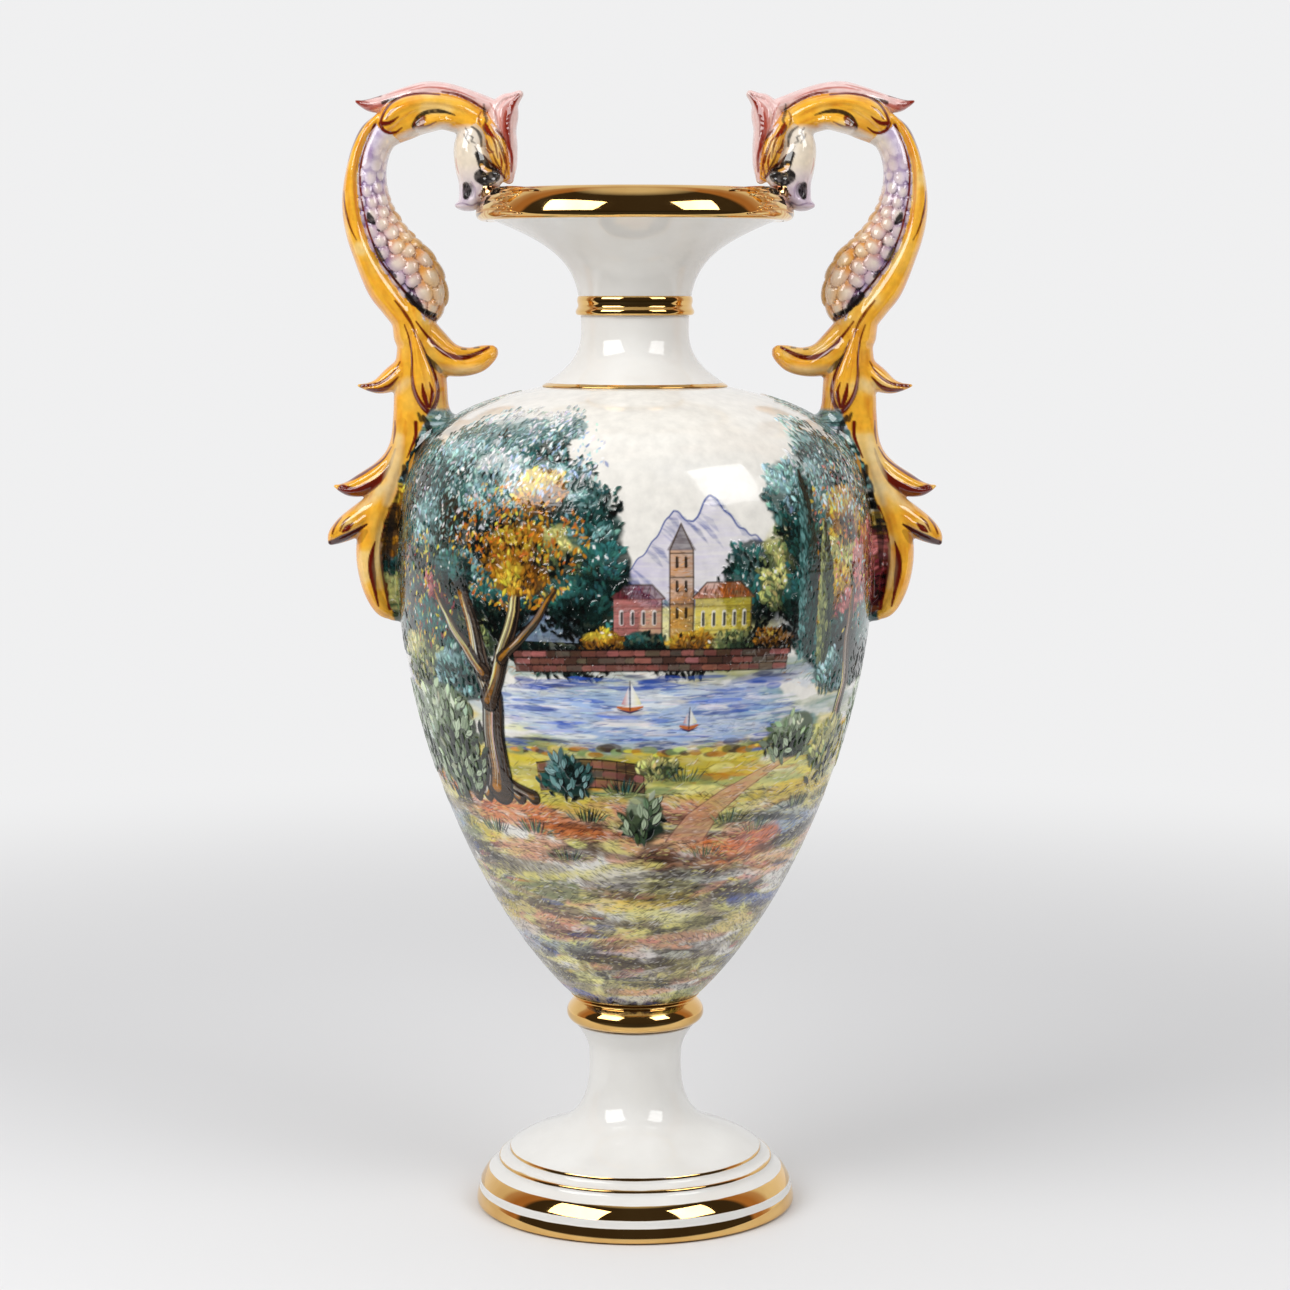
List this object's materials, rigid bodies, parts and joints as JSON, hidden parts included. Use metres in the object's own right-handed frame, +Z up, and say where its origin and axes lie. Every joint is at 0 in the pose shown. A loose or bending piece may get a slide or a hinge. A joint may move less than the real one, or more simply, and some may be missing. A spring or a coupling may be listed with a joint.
{
  "type": "porcelain urn",
  "caption": "Two-handled pedestal urn: ovoid painted body, flared neck with gilt rim and ring, waisted foot with gilt bands, animal-head scroll handles.",
  "frame": {"origin": "centre of the foot's underside, on the surface that the urn stands on", "axes": "+Z up along the vessel's axis; the two handles stand out along -X and +X"},
  "size_m": [0.3272, 0.254, 0.5997],
  "materials": {
    "porcelain": "warm white porcelain under a clear, high-gloss glaze",
    "painted_glaze": "hand-painted landscape in enamel colours under a high-gloss glaze",
    "gilding": "bright burnished gold lustre over the glaze",
    "ochre_glaze": "ochre glaze with brown lines, high gloss",
    "lilac_glaze": "lilac over cream glaze, high gloss",
    "pink_glaze": "pink glaze, high gloss",
    "steel": "zinc-plated steel",
    "cork": "pressed cork"
  },
  "bodies": {
    "root": {"pedestal_foot": "porcelain", "collar_gasket": "cork", "waist_collar": "gilding", "body_gasket": "cork", "urn_body": "painted_glaze", "neck_and_mouth": "porcelain", "neck_ring": "gilding", "mouth_rim": "gilding", "bolt_gasket": "cork", "bolt_washer": "steel", "tie_bolt": "steel", "foot_gasket": "cork", "foot_washer": "steel", "tie_nut": "steel", "left_serpent_neck": "ochre_glaze", "left_scaled_belly": "lilac_glaze", "left_animal_head": "lilac_glaze", "left_crest": "pink_glaze", "left_mane_lock": "ochre_glaze", "left_curl_leaf": "ochre_glaze", "left_small_leaf": "ochre_glaze", "left_tail_scroll": "ochre_glaze", "left_mid_leaf": "ochre_glaze", "left_low_leaf": "ochre_glaze", "left_drop_leaf_front": "ochre_glaze", "left_drop_leaf_back": "ochre_glaze", "left_rim_leaf_front": "gilding", "left_rim_leaf_back": "gilding", "right_serpent_neck": "ochre_glaze", "right_scaled_belly": "lilac_glaze", "right_animal_head": "lilac_glaze", "right_crest": "pink_glaze", "right_mane_lock": "ochre_glaze", "right_curl_leaf": "ochre_glaze", "right_small_leaf": "ochre_glaze", "right_tail_scroll": "ochre_glaze", "right_mid_leaf": "ochre_glaze", "right_low_leaf": "ochre_glaze", "right_drop_leaf_front": "ochre_glaze", "right_drop_leaf_back": "ochre_glaze", "right_rim_leaf_front": "gilding", "right_rim_leaf_back": "gilding"}
  },
  "joints": []
}
